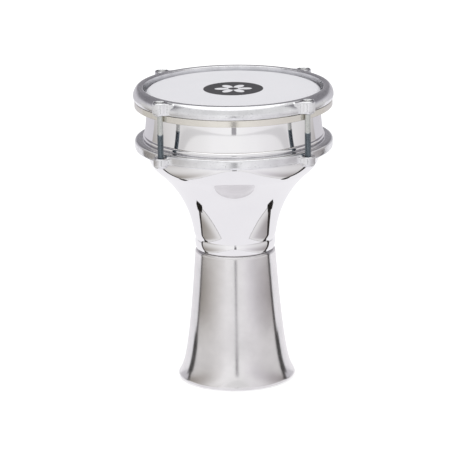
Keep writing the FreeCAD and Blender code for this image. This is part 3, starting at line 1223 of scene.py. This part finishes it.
class Foundry(Maker):
    """Casts rings with lugs: joins their bodies, rounds the joints off and bores them."""

    def __init__(self, lathe: Lathe, finishes: Finishes) -> None:
        """Keep the tools and build the shared tree.

        Args:
            lathe: turns outlines.
            finishes: gives materials.
        """
        super().__init__(lathe, finishes)
        self.around = AroundTree()

    def set_around(self, piece: Piece, sizes: LugSizes, name: str) -> Piece:
        """Copy a piece made at +X to all the lugs.

        Args:
            piece: the piece, which is removed.
            sizes: the lugs' sizes.
            name: name of the result.

        Returns:
            The copies in one object.
        """
        values = {"Count": sizes.count, "First Angle": math.pi / sizes.count}
        values["Material"] = self.finishes.get(Finish.CASTING)
        return self.around.run(piece, name, values)

    def web_plan(self, sizes: LugSizes) -> list[Point]:
        """Plan of the hollow fillets between a lug at +X and its ring, anticlockwise."""
        far = sizes.web_root + sizes.fillet
        near = sizes.radius + sizes.fillet
        middle = BOLT_CIRCLE
        angle = math.acos((middle**2 + far**2 - near**2) / (2 * middle * far))
        centre = (far * math.cos(angle), far * math.sin(angle))
        start = 180 + math.degrees(angle)
        end = direction(centre, (middle, 0.0))
        end = end + 360 if end < 0 else end
        side = [on_circle(centre, sizes.fillet, start + (end - start) * i / 12) for i in range(13)]
        inner = sizes.web_root - sizes.radius / 2
        root = (inner * math.cos(angle), inner * math.sin(angle))
        upper = list(reversed(side)) + [root]
        return [(x, -y) for x, y in reversed(upper)] + upper

    def lugs(self, sizes: LugSizes) -> Piece:
        """Make all lugs with their webs."""
        s = sizes
        outline = Outline().point(0.0, s.bottom).point(1.0, s.bottom)
        outline.corner(s.radius, s.bottom, s.bottom_edge, -90).corner(s.radius, s.top, s.edge, 0)
        outline.point(1.0, s.top).point(0.0, s.top)
        barrel = self.lathe.turn("barrel", outline, self.finishes.get(Finish.CASTING), segments=64)
        barrel.data.transform(Matrix.Translation((BOLT_CIRCLE * MM, 0.0, 0.0)))
        web = prism("web", self.web_plan(s), s.web_bottom, s.web_top)
        outward(web)
        outward(barrel)
        return self.set_around(merged("lug", [barrel, web]), sizes, "lugs")

    def bores(self, outline: Outline, sizes: LugSizes) -> Piece:
        """Make the shapes that are bored out of the lugs."""
        bore = self.lathe.turn("bore", outline, self.finishes.get(Finish.CASTING), segments=48)
        bore.data.transform(Matrix.Translation((BOLT_CIRCLE * MM, 0.0, 0.0)))
        outward(bore)
        return self.set_around(bore, sizes, "bores")

    def cast(self, name: str, ring: Outline, sizes: LugSizes, bore: Outline, grid: float) -> Piece:
        """Cast a ring with bored lugs.

        Args:
            name: its name.
            ring: outline of the ring.
            sizes: sizes of the lugs.
            bore: outline of what is bored out of each lug.
            grid: size of the casting's facets in millimetres.

        Returns:
            The casting.
        """
        material = self.finishes.get(Finish.CASTING)
        body = self.lathe.turn("ring", ring, material, segments=320)
        outward(body)
        blank = merged("blank", [body, self.lugs(sizes)])
        remesh = blank.modifiers.new("joined", "REMESH")
        remesh.mode = "VOXEL"
        remesh.voxel_size = grid * MM
        soften = blank.modifiers.new("soften", "SMOOTH")
        soften.factor = 0.5
        soften.iterations = 3
        blank = settled(blank, name + "_blank")
        casting = cut(blank, self.bores(bore, sizes), name)
        casting.data.materials.clear()
        casting.data.materials.append(material)
        for face in casting.data.polygons:
            face.material_index = 0
        crisp(casting, 40)
        return casting


class TensionHoop:
    """The upper casting, which the bolts pull down."""

    inner = 83.72
    outer = 93.02
    bottom = 267.47
    top = 279.97

    def outline(self) -> Outline:
        """Section of the hoop, with its bulged outer face."""
        lowest = (self.outer - 1.0, self.bottom)
        widest = (self.outer, self.bottom + 5.0)
        highest = (self.outer - 4.0, self.top)
        centre, bulge = circle_through(lowest, widest, highest)
        edge, lower = 0.8, 1.8
        outline = Outline()
        outline.corner(self.inner, self.bottom, 0.3, 180)
        low_z, high_z = lowest[1] + lower, highest[1] - edge
        low = math.degrees(math.asin((low_z - centre[1]) / (bulge - lower)))
        high = math.degrees(math.asin((high_z - centre[1]) / (bulge - edge)))
        outline.arc(on_circle(centre, bulge - lower, low), lower, -90, low, spacing=0.2)
        outline.arc(centre, bulge, low, high, spacing=0.6)
        outline.arc(on_circle(centre, bulge - edge, high), edge, high, 90, spacing=0.2)
        outline.corner(self.inner, self.top, edge, 90)
        return outline.closed()

    def build(self, foundry: Foundry) -> None:
        """Cast the hoop and hand it over.

        Args:
            foundry: casts it.
        """
        lugs = LugSizes(
            bottom=self.bottom,
            top=self.top,
            web_bottom=self.bottom + 0.8,
            web_top=self.top - 0.8,
            web_root=self.outer - 0.8,
        )
        seat = self.top - 6.5
        bore = Outline().point(0.0, self.bottom - 2).point(3.3, self.bottom - 2)
        bore.line(3.3, seat).line(5.4, seat).line(5.4, self.top - 0.35)
        bore.line(7.4, self.top + 1.65).point(0.0, self.top + 1.65)
        hoop = foundry.cast("cast_tension_hoop", self.outline(), lugs, bore, 0.6)
        hand_over(hoop, "tension_hoop", "tension_hoop")


class LowerRing:
    """The lower casting, which pulls up against the bowl's bead."""

    inner = 81.3
    outer = 92.1
    bottom = 221.4
    top = 231.2

    def outline(self) -> Outline:
        """Section of the ring, with the cove that fits the bead."""
        bead, cove = BEAD_CENTRE, BEAD_RADIUS + PLAY
        start = -math.degrees(math.acos((self.inner - bead[0]) / cove))
        end = -math.degrees(math.asin((bead[1] - self.top) / cove))
        outline = Outline()
        outline.corner(self.inner, self.bottom, 0.4, 180)
        outline.corner(self.outer, self.bottom, 2.2, -90)
        outline.corner(self.outer, self.top, 2.2, 0)
        outline.line(*on_circle(bead, cove, end))
        return outline.arc(bead, cove, end, start, spacing=0.25).closed()

    def build(self, foundry: Foundry) -> None:
        """Cast the ring and hand it over.

        Args:
            foundry: casts it.
        """
        lug_top = self.top - 2.9
        lugs = LugSizes(
            bottom=lug_top - 9.9,
            top=lug_top,
            web_bottom=self.bottom + 1.1,
            web_top=lug_top - 1.1,
            web_root=self.outer,
        )
        bore = Outline().point(0.0, lugs.bottom - 2).point(3.05, lugs.bottom - 2)
        bore.line(3.05, lug_top - 0.4).line(5.05, lug_top + 1.6).point(0.0, lug_top + 1.6)
        ring = foundry.cast("cast_lower_ring", self.outline(), lugs, bore, 0.6)
        hand_over(ring, "lower_ring", "shell")


# ---------------------------------------------------------------- bolts
class Corner(Enum):
    """Where the bolts stand, with their angle in degrees from +X."""

    REAR_RIGHT = 45
    REAR_LEFT = 135
    FRONT_LEFT = 225
    FRONT_RIGHT = 315


@dataclass(frozen=True)
class BoltSizes:
    """Sizes of a hexagon socket bolt in millimetres."""

    head_top: float = 279.47
    head_height: float = 6.0
    head: float = 5.0
    head_edge: float = 0.6
    shank: float = 2.675
    thread: float = 3.0
    depth: float = 0.55
    pitch: float = 1.0
    length: float = 50.0
    thread_length: float = 26.5
    chamfer: float = 0.8
    key: float = 5.0
    key_depth: float = 3.0


class Bolt(Maker):
    """One tension bolt."""

    sizes = BoltSizes()

    def __init__(self, lathe: Lathe, finishes: Finishes, corner: Corner) -> None:
        """Keep the tools and the place.

        Args:
            lathe: turns outlines.
            finishes: gives materials.
            corner: where it stands.
        """
        super().__init__(lathe, finishes)
        self.corner = corner

    def outline(self) -> Outline:
        """Half section, with rows close enough for the thread's flanks."""
        s = self.sizes
        seat = s.head_top - s.head_height
        tip = seat - s.length
        thread_end = tip + s.thread_length
        outline = Outline().point(0.0, tip).point(s.thread - s.chamfer, tip)
        outline.point(s.thread, tip + s.chamfer)
        rows = round((s.thread_length - s.chamfer) / s.pitch * 8)
        for i in range(rows + 1):
            outline.point(s.thread, tip + s.chamfer + (thread_end - tip - s.chamfer) * i / rows)
        outline.line(s.shank, thread_end + 0.4, edge=0.1).line(s.shank, seat)
        outline.line(s.head - 0.2, seat).line(s.head, seat + 0.2)
        outline.line(s.head, s.head_top - s.head_edge)
        edge = (s.head - s.head_edge, s.head_top - s.head_edge)
        outline.arc(edge, s.head_edge, 0, 90, spacing=0.15)
        return outline.line(0.0, s.head_top)

    def socket(self) -> Piece:
        """Shape of the hexagon socket."""
        s = self.sizes
        across = s.key / 2 / math.cos(math.radians(30))
        corners = [on_circle((0.0, 0.0), across, 60 * i) for i in range(6)]
        return prism("socket", corners, s.head_top - s.key_depth, s.head_top + 1)

    def build(self) -> None:
        """Make the bolt and hand it over."""
        s = self.sizes
        tip = s.head_top - s.head_height - s.length
        thread = Thread(s.depth, s.pitch, tip + s.chamfer * 0.4, tip + s.thread_length)
        name = self.corner.name.lower()
        material = self.finishes.get(Finish.BOLT)
        blank = self.lathe.turn("blank_" + name, self.outline(), material, 40, thread)
        outward(blank)
        socket = self.socket()
        outward(socket)
        piece = cut(blank, socket, "socket_bolt_" + name)
        crisp(piece, 32)
        turn = Matrix.Rotation(math.radians(self.corner.value), 4, "Z")
        piece.data.transform(turn @ Matrix.Translation((BOLT_CIRCLE * MM, 0, 0)))
        node = "bolt_" + name
        hand_over(piece, node, node)


# ---------------------------------------------------------------- studio
class Glow:
    """A material under construction that only shines, for cards that only reflections see."""

    def __init__(self, name: str) -> None:
        """Make it, with its arithmetic and the coordinates' three outputs."""
        self.material = blank_material(name)
        self.tree = self.material.node_tree
        self.calc = Calc(self.tree)
        self.shine = add_node(self.tree, "ShaderNodeEmission")
        add_node(self.tree, "ShaderNodeOutputMaterial", {"Surface": self.shine.outputs[0]})
        _, self.axes = own_place(self.tree)

    def rise(self, low: float, high: float) -> Socket:
        """Smooth step over the height, from 0 at the low end to 1 at the high one."""
        return smooth_step(self.tree, self.axes["Z"], low, high)

    def lay(self, base: object, top: object, where: Socket, share: float = 1.0) -> Socket:
        """Lay a colour over another where a mask is set, as strong as the share says."""
        return mixed(self.tree, self.calc("MULTIPLY", where, share), base, top)

    def ramp(self, factor: Socket, stops: tuple[tuple[float, str], ...]) -> Socket:
        """Colour ramp through the given stops."""
        node = add_node(self.tree, "ShaderNodeValToRGB", {0: factor})
        elements = node.color_ramp.elements
        for index, (position, colour) in enumerate(stops):
            element = elements[index] if index < 2 else elements.new(position)
            element.position = position
            element.color = linear(colour)
        return node.outputs[0]

    def coat(self, card: Piece, colour: object) -> Piece:
        """Shine in a colour on a card, and let only reflections see it."""
        feed(self.tree, self.shine.inputs["Color"], colour)
        card.data.materials.append(self.material)
        card.visible_camera = False
        card.visible_diffuse = False
        card.visible_shadow = False
        card.visible_transmission = False
        return card


class Studio:
    """White floor, soft light, reflecting cards around the drum, and the camera."""

    def __init__(self) -> None:
        """Start with no stage objects."""
        self.stage: list[Piece] = []

    def strip(self, name: str, path: list[Point], bottom: float, top: float) -> Piece:
        """Upright card along a path on the floor.

        Args:
            name: its name.
            path: points of its plan in metres.
            bottom: height of its lower edge.
            top: height of its upper edge.

        Returns:
            The card.
        """
        mesh = bpy.data.meshes.new(name)
        count = len(path)
        points = [(x, y, z) for z in (bottom, top) for x, y in path]
        faces = [(i, i + 1, count + i + 1, count + i) for i in range(count - 1)]
        mesh.from_pydata(points, [], faces)
        return mesh_object(name, mesh)

    # How the boards brighten from their rear ends to the front, on the left and the right
    left_stops = (
        (0.0, "A09B95"), (0.12, "BFBBB7"), (0.3, "E2E0DF"), (0.55, "FBFAFB"), (1.0, WHITE)
    )
    right_stops = (
        (0.0, "ABA6A6"), (0.12, "C2BEC0"), (0.3, "DEDBDF"), (0.55, "F4F2F5"), (1.0, WHITE)
    )

    def tent_plan(self) -> list[Point]:
        """Plan of the boards in metres, from the left rear end around to the right one."""
        path = [(-TENT_HALF_WIDTH, TENT_REAR)]
        for i in range(121):
            turn = math.radians(-90 + 180 * i / 120)
            side = TENT_HALF_WIDTH * abs(math.sin(turn)) ** TENT_SQUARENESS
            ahead = TENT_REACH * math.cos(turn) ** TENT_SQUARENESS
            path.append((math.copysign(side, turn), -ahead))
        return path + [(TENT_HALF_WIDTH, TENT_REAR)]

    def tent(self) -> None:
        """White boards that close around the drum towards the camera, with a slit in front.

        They dim towards their rear ends, which end in a dark stretch, and their face brightens
        up to a brim that sinks towards the front. A thin dark line along their foot is a painted
        contact shadow.
        """
        card = self.strip("card_tent", self.tent_plan(), CARD_BOTTOM, TENT_HEIGHT)
        glow = Glow("card_tent")
        calc, axes = glow.calc, glow.axes
        ahead = calc("MULTIPLY", axes["Y"], -1.0)
        right = calc("GREATER_THAN", axes["X"], 0.0)
        share = calc("DIVIDE", ahead, TENT_REACH)
        colour = glow.ramp(share, self.left_stops)
        colour = glow.lay(colour, glow.ramp(share, self.right_stops), right)
        lit = calc("MULTIPLY", glow.rise(0.06, 0.14), glow.rise(0.21, 0.15))
        colour = glow.lay(colour, WHITE, lit, 0.55)
        colour = glow.lay(colour, "F2F1F1", glow.rise(0.055, 0.012), 0.8)
        brim = calc("MULTIPLY_ADD", ahead, -0.083, 0.246)
        high = smooth_step(glow.tree, calc("SUBTRACT", axes["Z"], brim), -0.035, 0.0)
        colour = glow.lay(colour, WHITE, high, 0.6)
        colour = glow.lay(colour, "8A888B", calc("COMPARE", axes["Z"], brim, 0.002), 0.3)
        # Dark stretch at the boards' rear ends, from the floor up to just under their top
        start = calc("MULTIPLY_ADD", right, 0.008, -0.018)
        dark_rear_end = calc("MULTIPLY", calc("GREATER_THAN", start, ahead), glow.rise(0.21, 0.19))
        # Painted contact shadow: a thin dark line along the boards' foot, where they stand on the
        # table
        contact_shadow = calc("MULTIPLY", glow.rise(0.0035, 0.0025), 0.7)
        colour = glow.lay(colour, "3A3634", calc("MAXIMUM", dark_rear_end, contact_shadow))
        middle = smooth_step(glow.tree, calc("ABSOLUTE", axes["X"]), 0.034, 0.027)
        slit = calc("MULTIPLY", middle, glow.rise(0.196, 0.19))
        front = calc("MULTIPLY", slit, calc("GREATER_THAN", ahead, 0.3))
        dark = glow.lay("5A585C", "8F8D92", glow.rise(0.12, 0.15))
        self.stage.append(glow.coat(card, glow.lay(colour, dark, front, 0.85)))

    def clamps(self) -> None:
        """Small dark blocks at the boards' rear ends, which only reflections see."""
        glow = Glow("card_dark_block")
        for name, side in (("left", -1.0), ("right", 1.0)):
            x = side * (TENT_HALF_WIDTH / MM - 4.0)
            corners = [(x - 9.0, 8.0), (x + 9.0, 8.0), (x + 9.0, 50.0), (x - 9.0, 50.0)]
            foot = prism("card_dark_block_" + name, corners, 0.0, 22.0)
            self.stage.append(glow.coat(foot, linear("24221F")))

    def backdrop(self) -> None:
        """Pale sweep behind the drum, which closes the surroundings off to the rear."""
        radius = 1.1
        path = [
            (radius * math.sin(math.radians(a)), -radius * math.cos(math.radians(a)))
            for a in range(70, 291, 4)
        ]
        card = self.strip("card_backdrop", path, CARD_BOTTOM, 1.3)
        glow = Glow("card_backdrop")
        self.stage.append(glow.coat(card, glow.lay("D6D4D9", "8B898E", glow.rise(0.3, 0.55))))

    def flat(self, name: str, height: float, draw: Draw) -> Piece:
        """Level sheet at a height.

        Args:
            name: its name.
            height: its height in metres.
            draw: puts its faces into a bmesh.

        Returns:
            The sheet.
        """
        mesh = drawn(name, draw)
        mesh.transform(Matrix.Translation((0.0, 0.0, height)))
        return mesh_object(name, mesh)

    def table_card(self) -> None:
        """Pale disc just over the floor, a little darker at the foot with a painted contact shadow,
        that only reflections see.
        """
        glow = Glow("card_table")
        # Painted contact shadow: the disc darkens a little close to the drum's foot
        near = smooth_step(glow.tree, axis_distance(glow.calc, glow.axes), 0.075, 0.055)
        size = {"cap_ends": True, "segments": 96, "radius": 1.4}
        disc = self.flat(
            "card_table", -0.0003, lambda work: bmesh.ops.create_circle(work, **size)
        )
        self.stage.append(glow.coat(disc, glow.lay("F9F8FB", "A8A6A8", near, 0.04)))

    def floor(self) -> None:
        """White floor that reaches past the picture."""
        material = bpy.data.materials.new("floor_white")
        material.use_nodes = True
        shader = material.node_tree.nodes["Principled BSDF"]
        shader.inputs["Base Color"].default_value = linear("E6E6E6")
        shader.inputs["Roughness"].default_value = 0.9
        shader.inputs["Specular IOR Level"].default_value = 0.0
        shader.inputs["Emission Color"].default_value = (1.0, 1.0, 1.0, 1.0)
        shader.inputs["Emission Strength"].default_value = 0.42
        size = {"x_segments": 1, "y_segments": 1, "size": 20.0}
        sheet = self.flat("floor", -0.0008, lambda work: bmesh.ops.create_grid(work, **size))
        sheet.data.materials.append(material)
        self.stage.append(sheet)

    def light(self) -> None:
        """White surroundings and one large soft light overhead."""
        world = bpy.data.worlds.new("white_room")
        bpy.context.scene.world = world
        world.use_nodes = True
        back = world.node_tree.nodes["Background"]
        back.inputs["Color"].default_value = (1.0, 1.0, 1.0, 1.0)
        back.inputs["Strength"].default_value = 0.85
        lamp = bpy.data.lights.new("overhead", "AREA")
        lamp.shape = "DISK"
        lamp.size = 2.6
        lamp.energy = 12.0
        above = bpy.data.objects.new("overhead", lamp)
        above.location = (-0.1, -0.2, 2.0)
        bpy.context.scene.collection.objects.link(above)
        self.stage.append(above)

    def camera(self) -> None:
        """Long lens a little above the drum, rolled by under a degree."""
        lens = bpy.data.cameras.new("camera")
        lens.sensor_width = 36.0
        lens.lens = 248.8
        lens.clip_end = 60.0
        lens.dof.use_dof = False
        camera = bpy.data.objects.new("camera", lens)
        place = Vector((-0.0071, -2.84419, 0.92413))
        target = Vector((-0.0071, 0.0, 0.14325))
        look = (target - place).to_track_quat("-Z", "Y").to_matrix().to_4x4()
        roll = Matrix.Rotation(math.radians(-0.8), 4, "Z")
        camera.matrix_world = Matrix.Translation(place) @ look @ roll
        bpy.context.scene.collection.objects.link(camera)
        bpy.context.scene.camera = camera
        self.stage.append(camera)

    def build(self) -> None:
        """Set the whole studio up and gather its objects in a list."""
        bpy.context.scene.view_settings.view_transform = "Standard"
        self.tent()
        self.clamps()
        self.backdrop()
        self.table_card()
        self.floor()
        self.light()
        self.camera()
        log.info("studio: %d stage objects", len(self.stage))


def main() -> None:
    """Build the drum piece by piece, then the studio."""
    logging.basicConfig(level=logging.INFO, format="%(name)s %(message)s")
    lathe = Lathe()
    finishes = Finishes()
    Shell(lathe, finishes).build()
    Head(lathe, finishes).build()
    foundry = Foundry(lathe, finishes)
    TensionHoop().build(foundry)
    LowerRing().build(foundry)
    for corner in Corner:
        Bolt(lathe, finishes, corner).build()
    Studio().build()


if __name__ == "__main__":
    main()
